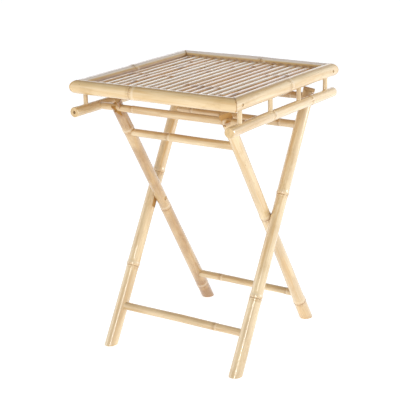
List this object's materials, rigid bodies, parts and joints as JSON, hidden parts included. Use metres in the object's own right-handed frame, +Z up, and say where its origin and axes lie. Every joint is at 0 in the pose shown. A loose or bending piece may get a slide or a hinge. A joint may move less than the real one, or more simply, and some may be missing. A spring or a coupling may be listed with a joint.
{
  "type": "folding tray table",
  "caption": "Square bamboo tray table with a slatted top in a mitred pole frame, on crossing hinged leg frames that hook under the top and fold flat.",
  "frame": {"origin": "centre of the bounding box on the floor", "axes": "+X along the width (the pivot bar's length), -Y towards the front where the pivot bar is, +Z up"},
  "size_m": [0.5, 0.534, 0.7385],
  "materials": {
    "pole_bamboo": "lacquered pale straw bamboo",
    "slat_bamboo": "lacquered split bamboo with brown split edges",
    "leg_bamboo": "glossy lacquered straw bamboo",
    "bar_bamboo": "lacquered tan bamboo",
    "peg_bamboo": "raw brown bamboo dowel end"
  },
  "bodies": {
    "inner_frame": {"inner_leg_left": "leg_bamboo", "inner_leg_right": "leg_bamboo", "pivot_bar": "bar_bamboo", "bar_peg_left": "peg_bamboo", "bar_peg_right": "peg_bamboo", "inner_stretcher_upper": "bar_bamboo", "inner_stretcher_lower": "bar_bamboo", "pivot_pin_left": "peg_bamboo", "pivot_pin_right": "peg_bamboo"},
    "outer_frame": {"outer_leg_left": "leg_bamboo", "outer_leg_right": "leg_bamboo", "outer_stretcher_upper": "bar_bamboo", "outer_stretcher_lower": "bar_bamboo"},
    "top": {"frame_pole_front": "pole_bamboo", "frame_pole_back": "pole_bamboo", "frame_pole_left": "pole_bamboo", "frame_pole_right": "pole_bamboo", "mitre_peg_front_left": "peg_bamboo", "mitre_peg_front_right": "peg_bamboo", "mitre_peg_back_left": "peg_bamboo", "mitre_peg_back_right": "peg_bamboo", "slat_01": "slat_bamboo", "slat_02": "slat_bamboo", "slat_03": "slat_bamboo", "slat_04": "slat_bamboo", "slat_05": "slat_bamboo", "slat_06": "slat_bamboo", "slat_07": "slat_bamboo", "slat_08": "slat_bamboo", "slat_09": "slat_bamboo", "slat_10": "slat_bamboo", "slat_11": "slat_bamboo", "slat_12": "slat_bamboo", "slat_13": "slat_bamboo", "slat_14": "slat_bamboo", "slat_15": "slat_bamboo", "slat_16": "slat_bamboo", "slat_17": "slat_bamboo", "slat_18": "slat_bamboo", "batten_front": "bar_bamboo", "batten_back": "bar_bamboo", "side_rail_left": "leg_bamboo", "spindle_left_1": "bar_bamboo", "spindle_left_2": "bar_bamboo", "spindle_left_3": "bar_bamboo", "spindle_left_4": "bar_bamboo", "side_rail_right": "leg_bamboo", "spindle_right_1": "bar_bamboo", "spindle_right_2": "bar_bamboo", "spindle_right_3": "bar_bamboo", "spindle_right_4": "bar_bamboo", "rear_bar": "bar_bamboo"}
  },
  "joints": [
    {"name": "top_fold", "type": "hinge", "parent": "inner_frame", "child": "top", "pos_m": [0, -0.1675, 0.658], "axis": [1, 0, 0], "range_deg": [0, 21.6]},
    {"name": "leg_fold", "type": "hinge", "parent": "inner_frame", "child": "outer_frame", "pos_m": [0, 0.01286, 0.36717], "axis": [1, 0, 0], "range_deg": [0, 54]}
  ],
  "couplings": [
    {"joint": "leg_fold", "follows": "top_fold", "ratio": 2.5}
  ]
}
